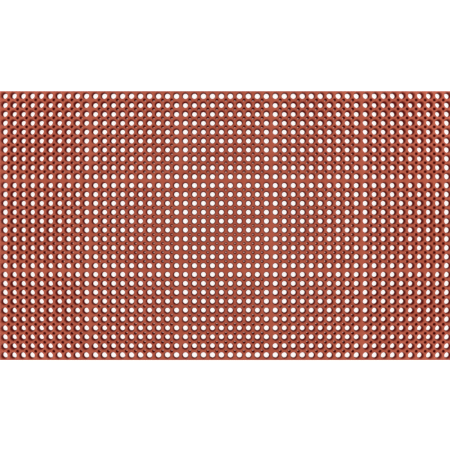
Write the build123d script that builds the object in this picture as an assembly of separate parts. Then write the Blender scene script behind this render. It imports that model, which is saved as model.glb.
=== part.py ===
from build123d import *
import os

# Rubber drainage mat, millimetres, +Z up.
# X runs along the long side, Y runs from the front edge to the back edge.
# The origin is the middle of the footprint, on the floor under the mat.

# Whole mat: 5 by 3 panels, each about one foot square.
PANEL_COLUMNS = 5
ROW_NAMES = ("front", "middle", "back")
PANEL_LENGTH_X = 304.8
PANEL_LENGTH_Y = 302.0
MAT_THICKNESS = 12.7

# Each panel carries a square grid of drain holes, with a half pitch left around it.
# Two half pitches meet as a solid band between panels, and one makes the plain border.
HOLES_PER_SIDE = 10
PITCH_X = PANEL_LENGTH_X / HOLES_PER_SIDE
PITCH_Y = PANEL_LENGTH_Y / HOLES_PER_SIDE

# Drain hole: a wide upper bore that stands on a thin lip.
HOLE_RADIUS = 11.1
LIP_RADIUS = 8.2
LIP_HEIGHT = 3.2
RIM_CHAMFER = 1.3

# Beside the mat's outer edges the opening in the lip is wider and shifted outwards,
# so these holes keep almost no lip on the border side.
EDGE_LIP_RADIUS = 9.4
EDGE_LIP_SHIFT = 1.0

# Blind pocket between every four holes, with a small weep hole through its floor.
POCKET_TOP_RADIUS = 5.0
POCKET_FLOOR_RADIUS = 3.7
POCKET_FLOOR_HEIGHT = 3.4
WEEP_RADIUS = 1.4

# Underside: a ring foot around every hole, with drainage channels between the feet.
CHANNEL_DEPTH = 1.6
FOOT_RADIUS = 13.2

OUTER_EDGE_CHAMFER = 0.8

# How far a cutting tool reaches past the face that it cuts through.
OVERCUT = 1.0


def grid(count):
    """The centres of a count by count grid of holes or pockets, as {(column, row): location}."""
    middle = (count - 1) / 2
    return {
        (column, row): Pos((column - middle) * PITCH_X, (row - middle) * PITCH_Y)
        for column in range(count)
        for row in range(count)
    }


HOLES = grid(HOLES_PER_SIDE)
POCKETS = grid(HOLES_PER_SIDE - 1)


def circles(places, radius):
    return [place * Circle(radius) for place in places.values()]


def foot_rings():
    """The ring feet, from the floor up to the ceiling of the channels."""
    ring = Circle(FOOT_RADIUS) - Circle(LIP_RADIUS)
    return [place * extrude(ring, CHANNEL_DEPTH) for place in HOLES.values()]


def lip_sheet(outline):
    """The thin lower sheet, which carries the lips and the pocket floors."""
    sheet = outline - circles(HOLES, LIP_RADIUS) - circles(POCKETS, WEEP_RADIUS)
    return Pos(0, 0, CHANNEL_DEPTH) * extrude(sheet, LIP_HEIGHT - CHANNEL_DEPTH)


def deck(outline):
    """The thick upper part, with the wide bores of the drain holes."""
    sheet = outline - circles(HOLES, HOLE_RADIUS) - circles(POCKETS, WEEP_RADIUS)
    return Pos(0, 0, LIP_HEIGHT) * extrude(sheet, MAT_THICKNESS - LIP_HEIGHT)


def rim_bevels():
    """Cutters that bevel the top rims of the drain holes."""
    cone = Cone(HOLE_RADIUS, HOLE_RADIUS + RIM_CHAMFER, RIM_CHAMFER)
    cone = Pos(0, 0, MAT_THICKNESS - RIM_CHAMFER / 2) * cone
    return [place * cone for place in HOLES.values()]


def pocket_cutters():
    """Tapered cutters for the pockets, from the top face down to the pocket floors."""
    depth = MAT_THICKNESS - POCKET_FLOOR_HEIGHT
    cone = Cone(POCKET_FLOOR_RADIUS, POCKET_TOP_RADIUS, depth)
    cone = Pos(0, 0, POCKET_FLOOR_HEIGHT + depth / 2) * cone
    return [place * cone for place in POCKETS.values()]


def inner_panel():
    """A panel with neighbours on all four sides, centred on the origin."""
    outline = Rectangle(PANEL_LENGTH_X, PANEL_LENGTH_Y)
    panel = deck(outline) - rim_bevels() - pocket_cutters()
    return panel + lip_sheet(outline) + foot_rings()


def outward(index, sides):
    """-1 or 1 for the first or last hole of a line where that side is a mat edge, else 0."""
    low, high = sides
    if index == 0 and low:
        return -1
    if index == HOLES_PER_SIDE - 1 and high:
        return 1
    return 0


def edge_opening_cutters(sides_x, sides_y):
    """Cutters for the wider, shifted lip openings beside the mat's outer edges."""
    height = LIP_HEIGHT + 2 * OVERCUT
    cylinder = Pos(0, 0, LIP_HEIGHT / 2) * Cylinder(EDGE_LIP_RADIUS, height)
    cutters = []
    for (column, row), place in HOLES.items():
        direction = Vector(outward(column, sides_x), outward(row, sides_y))
        if direction.length > 0:
            shift = direction.normalized() * EDGE_LIP_SHIFT
            cutters.append(Pos(shift) * place * cylinder)
    return cutters


def outer_top_edges(panel, sides_x, sides_y):
    """The straight top edges of a panel that lie on the mat's outer boundary."""
    chosen = ShapeList()
    for axis, length, sides in (
        (Axis.X, PANEL_LENGTH_X, sides_x),
        (Axis.Y, PANEL_LENGTH_Y, sides_y),
    ):
        for sign, is_outer in zip((-1, 1), sides):
            if is_outer:
                at = sign * length / 2
                wall = panel.edges().filter_by_position(axis, at, at)
                chosen += wall.filter_by_position(Axis.Z, MAT_THICKNESS, MAT_THICKNESS)
    return chosen


def outer_panel(panel, sides_x, sides_y):
    """The same panel with one or more of its sides on the mat's outer boundary."""
    panel = panel - edge_opening_cutters(sides_x, sides_y)
    return chamfer(outer_top_edges(panel, sides_x, sides_y), OUTER_EDGE_CHAMFER)


def main():
    os.makedirs("parts", exist_ok=True)
    plain = inner_panel()
    shapes = {}
    for column in range(PANEL_COLUMNS):
        for row, row_name in enumerate(ROW_NAMES):
            sides_x = (column == 0, column == PANEL_COLUMNS - 1)
            sides_y = (row == 0, row == len(ROW_NAMES) - 1)
            sides = sides_x + sides_y
            if sides not in shapes:
                shapes[sides] = outer_panel(plain, sides_x, sides_y) if any(sides) else plain
            x = (column - (PANEL_COLUMNS - 1) / 2) * PANEL_LENGTH_X
            y = (row - (len(ROW_NAMES) - 1) / 2) * PANEL_LENGTH_Y
            export_step(Pos(x, y) * shapes[sides], f"parts/panel_{column + 1}_{row_name}.step")


main()
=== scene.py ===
import math

import bpy
import numpy as np
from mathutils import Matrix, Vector


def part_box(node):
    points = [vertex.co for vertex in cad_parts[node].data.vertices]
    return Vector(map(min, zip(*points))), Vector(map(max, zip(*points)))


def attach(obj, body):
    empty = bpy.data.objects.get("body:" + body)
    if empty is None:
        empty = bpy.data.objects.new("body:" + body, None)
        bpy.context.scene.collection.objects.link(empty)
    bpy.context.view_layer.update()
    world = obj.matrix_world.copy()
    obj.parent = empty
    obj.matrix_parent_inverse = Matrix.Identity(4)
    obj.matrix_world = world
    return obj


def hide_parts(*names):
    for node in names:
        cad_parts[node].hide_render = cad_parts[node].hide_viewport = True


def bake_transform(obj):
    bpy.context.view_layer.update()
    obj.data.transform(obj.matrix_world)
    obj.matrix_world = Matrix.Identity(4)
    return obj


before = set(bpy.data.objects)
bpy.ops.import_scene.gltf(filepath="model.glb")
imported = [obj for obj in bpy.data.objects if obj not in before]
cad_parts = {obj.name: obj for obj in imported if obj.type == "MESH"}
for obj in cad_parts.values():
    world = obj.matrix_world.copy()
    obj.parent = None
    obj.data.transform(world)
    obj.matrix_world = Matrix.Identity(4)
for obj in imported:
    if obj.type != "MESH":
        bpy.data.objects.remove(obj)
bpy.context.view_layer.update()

MM = 0.001

# ---------------------------------------------------------------- the mat's layout
PANEL_COLUMNS = 5
ROW_NAMES = ("front", "middle", "back")
HOLES_PER_SIDE = 10
HALF_PANEL = HOLES_PER_SIDE // 2

panel_low, panel_high = (Vector(corner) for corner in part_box("panel_1_front"))
PITCH_X = (panel_high.x - panel_low.x) / HOLES_PER_SIDE
PITCH_Y = (panel_high.y - panel_low.y) / HOLES_PER_SIDE
THICKNESS = panel_high.z - panel_low.z
COLUMNS = PANEL_COLUMNS * HOLES_PER_SIDE
ROWS = len(ROW_NAMES) * HOLES_PER_SIDE

# ---------------------------------------------------------------- one drain hole
HOLE_RADIUS = 11.1 * MM

# the rounding of its top rim, which has to end before the rounding of the mat's edge begins
RIM_WIDTH = 2.7 * MM
RIM_DROP = 1.6 * MM

# the thin lip at its foot, and the opening in the lip
LIP_RADIUS = 7.9 * MM
LIP_HEIGHT = 3.2 * MM
LIP_ROUND = 0.3 * MM

# beside a band this opening is a little wider and shifted, and beside the mat's edge more so
BAND_LIP_RADIUS = 8.2 * MM
BAND_LIP_SHIFT = 0.3 * MM
EDGE_LIP_RADIUS = 8.9 * MM
EDGE_LIP_SHIFT = 1.0 * MM

# the ring foot under it, which stands on the floor
FOOT_RADIUS = 13.2 * MM
FOOT_ROUND = 0.25 * MM
CHANNEL_DEPTH = 1.6 * MM

# the pocket between four holes, and its weep hole
POCKET_RADIUS = 5.0 * MM
POCKET_ROUND = 0.6 * MM
POCKET_FLOOR_RADIUS = 3.7 * MM
POCKET_FLOOR_HEIGHT = 3.4 * MM
POCKET_FLOOR_ROUND = 0.4 * MM
WEEP_RADIUS = 1.4 * MM

# the mat's outer edge
EDGE_ROUND = 1.0 * MM
EDGE_FOOT_ROUND = 0.4 * MM
CORNER_ROUND = 1.5 * MM

# how sunk a point counts as, from 0 on the top face to 1 inside a hole, which darkens the rubber as
# painted shade
SUNK = 1.0
UNDERSIDE_DEPTH = 0.45
RIM_DEPTH = 0.3
POCKET_FLOOR_DEPTH = 0.9

# how worn a point counts as, which lightens the mat's outer edge as worn rubber and as a painted
# highlight, and a mark beyond that for a painted red glow on the pocket floor beside a weep hole,
# standing in for light
RUBBED_AND_HIGHLIT = 1.0
LITTLE_RUBBED_AND_HIGHLIT = 0.3
PAINTED_GLOW_MARK = 2.0

# mesh points: a quarter of a cell's outline is half a side, a corner and half a side
HALF_SIDE = 2
CORNER = 4
QUARTER = 2 * HALF_SIDE + CORNER
AROUND = 4 * QUARTER
ROUND_STEPS = 3
POCKET_ROUND_STEPS = 2

# points closer than about a step are welded, and the offset keeps points that should meet
# from falling either side of a step's end
WELD_STEP = 0.001 * MM
WELD_OFFSET = 0.137


def quarter_round(steps):
    """Sine and cosine of the steps along a quarter circle, both ends included."""
    return [(math.sin(a), math.cos(a)) for a in np.linspace(0, math.pi / 2, steps + 1)]


def circle(radius, z, centre):
    turns = 2 * math.pi * np.arange(AROUND) / AROUND
    return [
        (centre[0] + radius * math.cos(a), centre[1] + radius * math.sin(a), z) for a in turns
    ]


def arc_about_corner(quadrant, radius, z):
    """The quarter of a circle about a corner of a cell that lies in the cell."""
    x_sign, y_sign = ((1, 1), (-1, 1), (-1, -1), (1, -1))[quadrant]
    centre_x, centre_y = x_sign * PITCH_X / 2, y_sign * PITCH_Y / 2
    start = -math.pi / 2 + quadrant * math.pi / 2
    turns = [start - math.pi / 2 * k / CORNER for k in range(CORNER + 1)]
    return [
        (centre_x + radius * math.cos(a), centre_y + radius * math.sin(a), z) for a in turns
    ]


def hole_profile(lip, shift):
    """Radius, height, centre, depth and flatness of the rings from the foot to the top rim.

    lip and shift are the radius and centre of the opening in the lip. A ring's flatness says
    whether the faces up to it from the ring before are a flat surface.
    """
    centre = (0.0, 0.0)
    rows = [
        (FOOT_RADIUS, CHANNEL_DEPTH, centre, UNDERSIDE_DEPTH, True),
        (FOOT_RADIUS, FOOT_ROUND, centre, UNDERSIDE_DEPTH, False),
        (FOOT_RADIUS - FOOT_ROUND, 0.0, centre, UNDERSIDE_DEPTH, False),
        (lip, 0.0, shift, UNDERSIDE_DEPTH, True),
        (lip, LIP_HEIGHT - LIP_ROUND, shift, SUNK, False),
        (lip + LIP_ROUND, LIP_HEIGHT, shift, SUNK, False),
        (HOLE_RADIUS - LIP_ROUND, LIP_HEIGHT, centre, SUNK, True),
        (HOLE_RADIUS, LIP_HEIGHT + LIP_ROUND, centre, SUNK, False),
    ]
    for s, c in quarter_round(ROUND_STEPS):
        radius = HOLE_RADIUS + RIM_WIDTH * (1 - c)
        rows.append((radius, THICKNESS - RIM_DROP * (1 - s), centre, RIM_DEPTH * (1 - s), False))
    return rows


def pocket_profile():
    """Radius, height, wear, depth and flatness of the rings down the inside of a pocket."""
    rows = []
    for s, c in quarter_round(POCKET_ROUND_STEPS)[1:]:
        radius = POCKET_RADIUS + POCKET_ROUND * (1 - s)
        rows.append((radius, THICKNESS - POCKET_ROUND * (1 - c), 0.0, SUNK * s, False))
    low = POCKET_FLOOR_HEIGHT
    inner = POCKET_FLOOR_RADIUS - POCKET_FLOOR_ROUND
    rows.append((POCKET_FLOOR_RADIUS, low + POCKET_FLOOR_ROUND, 0.0, SUNK, False))
    rows.append((inner, low, 0.0, POCKET_FLOOR_DEPTH, False))
    # the weep hole's rim carries the mark for the painted red glow
    rows.append((WEEP_RADIUS, low, PAINTED_GLOW_MARK, 0.0, True))
    return rows


class Cell:
    """One drain hole with the square of rubber around it, as rings of points.

    pockets says which of the four corners has a pocket, from the +X+Y corner round
    anticlockwise. bands, outer and walls say which of the +X, +Y, -X and -Y sides lie on a
    plain band, which are the mat's edge, and which are cut faces, where this piece of the
    mat meets the next.
    """

    def __init__(self, pockets, bands, outer, walls):
        self.pockets = pockets
        self.bands = bands
        self.outer = outer
        self.walls = walls
        self.points = []
        self.wear = []
        self.depth = []
        self.faces = []
        self.flat = []
        self.pocket_rows = {}
        self.edge_rows = {}
        self.build()

    def add_points(self, points, wear=0.0, depth=0.0):
        """Stores points and returns their numbers."""
        first = len(self.points)
        self.points += [tuple(p) for p in points]
        self.wear += [wear] * len(points)
        self.depth += [depth] * len(points)
        return list(range(first, len(self.points)))

    def add_strip(self, ring, following, closed, flat=False):
        """Joins two rows of points, in the order that turns the faces outwards."""
        count = len(ring)
        for k in range(count if closed else count - 1):
            m = (k + 1) % count
            self.faces.append((ring[k], following[k], following[m], ring[m]))
            self.flat.append(flat)

    def outline(self, corner_radius, z, inset):
        """The square outline, going round an arc at each pocket, drawn in at the mat's edges."""
        half = (PITCH_X / 2, PITCH_Y / 2)
        points = []
        for quadrant in range(4):
            width, length = half[quadrant % 2], half[(quadrant + 1) % 2]
            u_side = width - (inset if self.outer[quadrant] else 0.0)
            v_side = length - (inset if self.outer[(quadrant + 1) % 4] else 0.0)
            local = []
            for step in range(HALF_SIDE):
                local.append((u_side, (length - corner_radius) * step / HALF_SIDE))
            for step in range(CORNER):
                full, drawn_in = (width, length), (u_side, v_side)
                local.append(
                    self.corner_point(quadrant, step / CORNER, corner_radius, full, drawn_in, inset)
                )
            for step in range(HALF_SIDE):
                local.append(((width - corner_radius) * (1 - step / HALF_SIDE), v_side))
            turn = quadrant * math.pi / 2
            c, s = round(math.cos(turn)), round(math.sin(turn))
            points += [(c * u - s * v, s * u + c * v, z) for u, v in local]
        return points

    def corner_point(self, quadrant, share, radius, full, drawn_in, inset):
        """A point between the two ends of a corner: on a pocket's arc, or out at the corner.

        share runs from 0 at the first end towards 1 at the second. full is the corner of the
        square, and drawn_in the same corner after the inset at the mat's edges.
        """
        width, length = full
        u_side, v_side = drawn_in
        if self.pockets[quadrant]:
            a = share * math.pi / 2
            return width - radius * math.sin(a), length - radius * math.cos(a)
        if self.outer[quadrant] and self.outer[(quadrant + 1) % 4]:
            # the mat's own corner: the middle half of the way is a small arc
            if share == 0:
                return u_side, length - radius
            a = (share - 0.25) * math.pi
            r = CORNER_ROUND - inset
            return (
                width - CORNER_ROUND + r * math.cos(a),
                length - CORNER_ROUND + r * math.sin(a),
            )
        if share <= 0.5:
            return u_side, length - radius + (v_side - length + radius) * share * 2
        return u_side - (u_side - width + radius) * (share * 2 - 1), v_side

    def side(self, ring, side):
        """The points of an outline along one side, from corner to corner, both included."""
        middle = side * QUARTER
        low = HALF_SIDE if self.pockets[(side - 1) % 4] else HALF_SIDE + CORNER // 2
        high = HALF_SIDE if self.pockets[side] else HALF_SIDE + CORNER // 2
        return [ring[(middle + k) % AROUND] for k in range(-low, high + 1)]

    def corner_arc(self, ring, quadrant):
        first = quadrant * QUARTER + HALF_SIDE
        return [ring[(first + k) % AROUND] for k in range(CORNER + 1)]

    def lip_opening(self):
        """Radius and centre of the opening in the lip."""
        for sides, radius, shift in (
            (self.outer, EDGE_LIP_RADIUS, EDGE_LIP_SHIFT),
            (self.bands, BAND_LIP_RADIUS, BAND_LIP_SHIFT),
        ):
            if any(sides):
                away = Vector((sides[0] - sides[2], sides[1] - sides[3]))
                return radius, away.normalized() * shift
        return LIP_RADIUS, Vector((0.0, 0.0))

    def build(self):
        edge_foot = EDGE_FOOT_ROUND if any(self.outer) else 0.0
        under_outline = self.outline(WEEP_RADIUS, CHANNEL_DEPTH, edge_foot)
        under = self.add_points(under_outline, depth=UNDERSIDE_DEPTH)
        ring = under
        for radius, z, centre, depth, flat in hole_profile(*self.lip_opening()):
            following = self.add_points(circle(radius, z, centre), depth=depth)
            self.add_strip(ring, following, True, flat)
            ring = following
        upper = self.add_points(self.outline(POCKET_RADIUS + POCKET_ROUND, THICKNESS, EDGE_ROUND))
        self.add_strip(ring, upper, True, True)
        for quadrant in range(4):
            if self.pockets[quadrant]:
                self.add_pocket(quadrant, upper, under)
        for side in range(4):
            if self.outer[side]:
                self.add_edge(side, upper, under)
        for side in range(4):
            if self.walls[side] and not self.outer[side]:
                self.add_wall(side, upper, under)

    def add_pocket(self, quadrant, upper, under):
        """A quarter of a pocket, from the top face down through its weep hole."""
        ring = self.corner_arc(upper, quadrant)
        self.pocket_rows[quadrant] = []
        for radius, z, wear, depth, flat in pocket_profile():
            points = arc_about_corner(quadrant, radius, z)
            following = self.add_points(points, wear, depth)
            self.add_strip(ring, following, False, flat)
            self.pocket_rows[quadrant].append(following)
            ring = following
        self.add_strip(ring, self.corner_arc(under, quadrant), False)

    def add_edge(self, side, upper, under):
        """The mat's outer edge along one side of the cell."""
        ring = self.side(upper, side)
        # the rounding and top of the edge are marked as worn and as a painted highlight
        rows = [
            (EDGE_ROUND * (1 - s), THICKNESS - EDGE_ROUND * (1 - c), RUBBED_AND_HIGHLIT)
            for s, c in quarter_round(ROUND_STEPS)[1:-1]
        ]
        rows.append((0.0, THICKNESS - EDGE_ROUND, LITTLE_RUBBED_AND_HIGHLIT))
        rows.append((0.0, CHANNEL_DEPTH + EDGE_FOOT_ROUND, 0.0))
        self.edge_rows[side] = []
        for inset, z, wear in rows:
            whole = self.outline(POCKET_RADIUS + POCKET_ROUND, z, inset)
            following = self.add_points(self.side(whole, side), wear)
            self.add_strip(ring, following, False)
            self.edge_rows[side].append(following)
            ring = following
        self.add_strip(ring, self.side(under, side), False)

    def add_wall(self, side, upper, under):
        """A plain cut face, where this piece meets the next one."""
        before, after = (side - 1) % 4, (side + 1) % 4
        down = self.pocket_rows.get(before, []) + self.edge_rows.get(before, [])
        up = self.pocket_rows.get(side, []) + self.edge_rows.get(after, [])
        face = self.side(upper, side)[::-1] + [row[-1] for row in down]
        face += self.side(under, side) + [row[0] for row in reversed(up)]
        self.faces.append(tuple(face))
        self.flat.append(True)


def cell_kind(column, row, first, last):
    """The pockets, bands, outer sides and cut faces of one cell of a piece.

    first and last are the piece's lowest and highest column and row.
    """
    near = [
        (column + 1) % HOLES_PER_SIDE == 0,
        (row + 1) % HOLES_PER_SIDE == 0,
        column % HOLES_PER_SIDE == 0,
        row % HOLES_PER_SIDE == 0,
    ]
    outer = [column == COLUMNS - 1, row == ROWS - 1, column == 0, row == 0]
    bands = [a and not b for a, b in zip(near, outer)]
    walls = [column == last[0], row == last[1], column == first[0], row == first[1]]
    pockets = [not near[side] and not near[(side + 1) % 4] for side in range(4)]
    return tuple(pockets), tuple(bands), tuple(outer), tuple(walls)


def mat_piece(name, first, last):
    """The mesh of a rectangle of cells, from the first (column, row) to the last, both included."""
    kinds = {}
    points, wear, depth, faces, flat = [], [], [], [], []
    count = 0
    for column in range(first[0], last[0] + 1):
        for row in range(first[1], last[1] + 1):
            kind = cell_kind(column, row, first, last)
            if kind not in kinds:
                kinds[kind] = Cell(*kind)
            cell = kinds[kind]
            centre = ((column + 0.5 - COLUMNS / 2) * PITCH_X, (row + 0.5 - ROWS / 2) * PITCH_Y, 0.0)
            points.append(np.array(cell.points) + centre)
            wear.append(cell.wear)
            depth.append(cell.depth)
            faces += [tuple(count + n for n in face) for face in cell.faces]
            flat += cell.flat
            count += len(cell.points)
    points = np.concatenate(points)
    grid = np.floor(points / WELD_STEP + WELD_OFFSET).astype(np.int64)
    _, kept, number = np.unique(grid, axis=0, return_index=True, return_inverse=True)
    number = number.ravel()
    faces = [tuple(int(number[n]) for n in face) for face in faces]
    mesh = bpy.data.meshes.new(name)
    mesh.from_pydata(points[kept].tolist(), [], faces)
    mesh.polygons.foreach_set("use_smooth", [not f for f in flat])
    for label, values in (("wear", np.concatenate(wear)), ("depth", np.concatenate(depth))):
        layer = mesh.attributes.new(label, "FLOAT", "POINT")
        layer.data.foreach_set("value", values[kept].astype(np.float32))
    rest = mesh.attributes.new("rest", "FLOAT_VECTOR", "POINT")
    rest.data.foreach_set("vector", points[kept].astype(np.float32).ravel())
    mesh.update()
    piece = bpy.data.objects.new(name, mesh)
    bpy.context.scene.collection.objects.link(piece)
    return piece


# ---------------------------------------------------------------- the rubber
def link(tree, source, target):
    tree.links.new(source, target)


def new_node(tree, kind, label, **settings):
    node = tree.nodes.new(kind)
    node.label = label
    for key, value in settings.items():
        setattr(node, key, value)
    return node


def noise(tree, place, label, scale, detail, roughness=0.5):
    node = new_node(tree, "ShaderNodeTexNoise", label)
    node.inputs["Scale"].default_value = scale
    node.inputs["Detail"].default_value = detail
    node.inputs["Roughness"].default_value = roughness
    link(tree, place, node.inputs["Vector"])
    return node.outputs["Fac"]


def ramp(tree, value, label, low, high, to_low=0.0, to_high=1.0):
    """Maps a value from one range to another, smoothly and clamped."""
    node = new_node(tree, "ShaderNodeMapRange", label, interpolation_type="SMOOTHSTEP")
    node.inputs["From Min"].default_value = low
    node.inputs["From Max"].default_value = high
    node.inputs["To Min"].default_value = to_low
    node.inputs["To Max"].default_value = to_high
    link(tree, value, node.inputs["Value"])
    return node.outputs["Result"]


def mixed(tree, share, first, second, label):
    """A colour mixed from two, each a socket or a colour."""
    node = new_node(tree, "ShaderNodeMix", label, data_type="RGBA")
    link(tree, share, node.inputs["Factor"])
    for name, colour in (("A", first), ("B", second)):
        socket = next(s for s in node.inputs if s.name == name and s.type == "RGBA")
        if isinstance(colour, tuple):
            socket.default_value = (*colour, 1.0)
        else:
            link(tree, colour, socket)
    return next(s for s in node.outputs if s.type == "RGBA")


def bump(tree, height, label, strength, distance, before=None):
    node = new_node(tree, "ShaderNodeBump", label)
    node.inputs["Strength"].default_value = strength
    node.inputs["Distance"].default_value = distance
    link(tree, height, node.inputs["Height"])
    if before is not None:
        link(tree, before, node.inputs["Normal"])
    return node.outputs["Normal"]


TERRACOTTA = (0.41, 0.073, 0.036)
TERRACOTTA_WARM = (0.45, 0.088, 0.045)
# dust colour, also used for the painted highlight on the worn outer edges
TERRACOTTA_DUST_AND_HIGHLIGHT = (0.50, 0.135, 0.088)
# painted shade: the dark red put in the holes, pockets, rim roundings and underside
TERRACOTTA_PAINTED_SHADE = (0.21, 0.003, 0.001)
# painted glow: the bright red put on the pocket floors beside the weep holes, standing in for light
TERRACOTTA_PAINTED_GLOW = (0.95, 0.12, 0.07)
RUBBER_SPECULAR = 0.2


def rubber_colour(tree, at):
    """Faded terracotta on top, lighter on the worn outer edges, partly as a painted highlight, a
    deep red painted shade inside the holes and pockets and under the mat, and a painted red glow on
    the pocket floors beside the weep holes.
    """
    wear = new_node(tree, "ShaderNodeAttribute", "rubbed edges", attribute_name="wear")
    depth = new_node(tree, "ShaderNodeAttribute", "depth below the top", attribute_name="depth")

    tone = noise(tree, at, "batch tone", scale=9.0, detail=3.0)
    tone = ramp(tree, tone, "tone share", low=0.35, high=0.65)
    colour = mixed(tree, tone, TERRACOTTA, TERRACOTTA_WARM, "terracotta")
    dust = noise(tree, at, "dusty bloom", scale=70.0, detail=6.0, roughness=0.65)
    dust = ramp(tree, dust, "dust share", low=0.5, high=0.75, to_high=0.45)
    colour = mixed(tree, dust, colour, TERRACOTTA_DUST_AND_HIGHLIGHT, "with dust")
    # the outer edges lighter, as worn rubber and as a painted highlight
    rubbed_and_highlit = ramp(tree, wear.outputs["Fac"], "rubbed share", low=0.2, high=RUBBED_AND_HIGHLIT, to_high=0.5)
    colour = mixed(tree, rubbed_and_highlit, colour, TERRACOTTA_DUST_AND_HIGHLIGHT, "with rubbed edges")
    # painted shade: darker deep red where a point is sunk, in the holes, pockets, rim roundings and
    # under the mat
    sunk = ramp(tree, depth.outputs["Fac"], "sunk share", low=0.0, high=SUNK)
    colour = mixed(tree, sunk, colour, TERRACOTTA_PAINTED_SHADE, "with painted_shade depths")
    # painted glow: bright red on the pocket floors beside the weep holes, standing in for light
    painted_glow = ramp(tree, wear.outputs["Fac"], "thin share", low=RUBBED_AND_HIGHLIT, high=PAINTED_GLOW_MARK)
    return mixed(tree, painted_glow, colour, TERRACOTTA_PAINTED_GLOW, "with thin pocket floors")


def rubber_grain(tree, at):
    """Moulded grain on a slightly uneven surface."""
    broad = noise(tree, at, "uneven cure", scale=160.0, detail=3.0)
    fine = noise(tree, at, "moulded grain", scale=1500.0, detail=2.0)
    normal = bump(tree, broad, "uneven surface", strength=0.25, distance=0.6 * MM)
    return bump(tree, fine, "grain", strength=0.35, distance=0.12 * MM, before=normal)


def rubber_material():
    material = bpy.data.materials.new("terracotta_rubber")
    material.use_nodes = True
    tree = material.node_tree
    shader = tree.nodes["Principled BSDF"]
    place = new_node(tree, "ShaderNodeAttribute", "place on the mat", attribute_name="rest")
    at = place.outputs["Vector"]
    smear = noise(tree, at, "handling smears", scale=26.0, detail=4.0)
    roughness = ramp(tree, smear, "roughness", low=0.3, high=0.7, to_low=0.52, to_high=0.68)
    link(tree, rubber_colour(tree, at), shader.inputs["Base Color"])
    link(tree, roughness, shader.inputs["Roughness"])
    link(tree, rubber_grain(tree, at), shader.inputs["Normal"])
    shader.inputs["Specular IOR Level"].default_value = RUBBER_SPECULAR
    return material


def bend_span(piece):
    """Bakes a piece's placement into its mesh."""
    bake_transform(piece)


def rubber_mat():
    """A row of pieces per row of panels, each from the middle of a panel to the next one's."""
    rubber = rubber_material()
    for row, row_name in enumerate(ROW_NAMES):
        first_row, last_row = row * HOLES_PER_SIDE, (row + 1) * HOLES_PER_SIDE - 1
        for span in range(PANEL_COLUMNS + 1):
            start = max(0, span * HOLES_PER_SIDE - HALF_PANEL)
            end = min(COLUMNS, span * HOLES_PER_SIDE + HALF_PANEL) - 1
            panels = [n for n in (span, span + 1) if 1 <= n <= PANEL_COLUMNS]
            name = "mat_" + "_".join(str(n) for n in panels) + "_" + row_name
            piece = mat_piece(name, (start, first_row), (end, last_row))
            piece.data.materials.append(rubber)
            if len(panels) == 2:
                bend_span(piece)
            else:
                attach(piece, f"strip_{panels[0]}")
            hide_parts(*(f"panel_{n}_{row_name}" for n in panels))


# ---------------------------------------------------------------- floor, light and camera
# The floor glows a little, like a light table, so that it is as white in the drain holes
# as it is around the mat.
FLOOR_REACH = 60.0
FLOOR_GREY = (0.5, 0.5, 0.5, 1.0)
FLOOR_GLOW_COLOUR = (1.0, 0.97, 0.95, 1.0)
FLOOR_GLOW = 0.75
WORLD_WHITE = (1.0, 1.0, 1.0, 1.0)
WORLD_STRENGTH = 0.68

# name, place, length of a side and power in watts
SOFTBOXES = (
    ("overhead", (0.0, 0.0, 3.2), 2.2, 12.0),
    ("front_left", (-1.05, -0.75, 0.45), 0.5, 2.2),
    ("front_right", (1.05, -0.75, 0.45), 0.5, 2.2),
    ("back_left", (-1.05, 0.75, 0.45), 0.5, 2.6),
    ("back_right", (1.05, 0.75, 0.45), 0.5, 3.4),
)

# The camera looks straight down, from the height at which its lens takes in a little less
# than the mat's length, and a little off the mat's centre.
SENSOR = 36.0
LENS = 28.0
SEEN_LENGTH = COLUMNS * PITCH_X - 10.0 * MM
OFF_CENTRE = (-3.1 * MM, 2.0 * MM)


def floor():
    mesh = bpy.data.meshes.new("floor")
    far = FLOOR_REACH
    corners = [(-far, -far, 0), (far, -far, 0), (far, far, 0), (-far, far, 0)]
    mesh.from_pydata(corners, [], [(0, 1, 2, 3)])
    plane = bpy.data.objects.new("floor", mesh)
    bpy.context.scene.collection.objects.link(plane)
    material = bpy.data.materials.new("white_floor")
    material.use_nodes = True
    shader = material.node_tree.nodes["Principled BSDF"]
    shader.inputs["Base Color"].default_value = FLOOR_GREY
    shader.inputs["Roughness"].default_value = 0.9
    shader.inputs["Specular IOR Level"].default_value = 0.1
    shader.inputs["Emission Color"].default_value = FLOOR_GLOW_COLOUR
    shader.inputs["Emission Strength"].default_value = FLOOR_GLOW
    mesh.materials.append(material)
    return plane


def softbox(name, place, side, power):
    """An area light that faces the middle of the mat and isn't seen itself."""
    data = bpy.data.lights.new(name, "AREA")
    data.shape = "SQUARE"
    data.size = side
    data.energy = power
    lamp = bpy.data.objects.new(name, data)
    lamp.location = place
    lamp.rotation_euler = (-Vector(place)).to_track_quat("-Z", "Y").to_euler()
    lamp.visible_camera = False
    bpy.context.scene.collection.objects.link(lamp)


def studio_world():
    world = bpy.data.worlds.new("studio")
    world.use_nodes = True
    background = world.node_tree.nodes["Background"]
    background.inputs["Color"].default_value = WORLD_WHITE
    background.inputs["Strength"].default_value = WORLD_STRENGTH
    bpy.context.scene.world = world


def camera_above():
    data = bpy.data.cameras.new("camera")
    data.sensor_width = SENSOR
    data.lens = LENS
    camera = bpy.data.objects.new("camera", data)
    camera.location = (*OFF_CENTRE, THICKNESS + SEEN_LENGTH * LENS / SENSOR)
    bpy.context.scene.collection.objects.link(camera)
    bpy.context.scene.camera = camera


rubber_mat()
floor()
studio_world()
for softbox_values in SOFTBOXES:
    softbox(*softbox_values)
camera_above()
bpy.context.scene.view_settings.view_transform = "Standard"
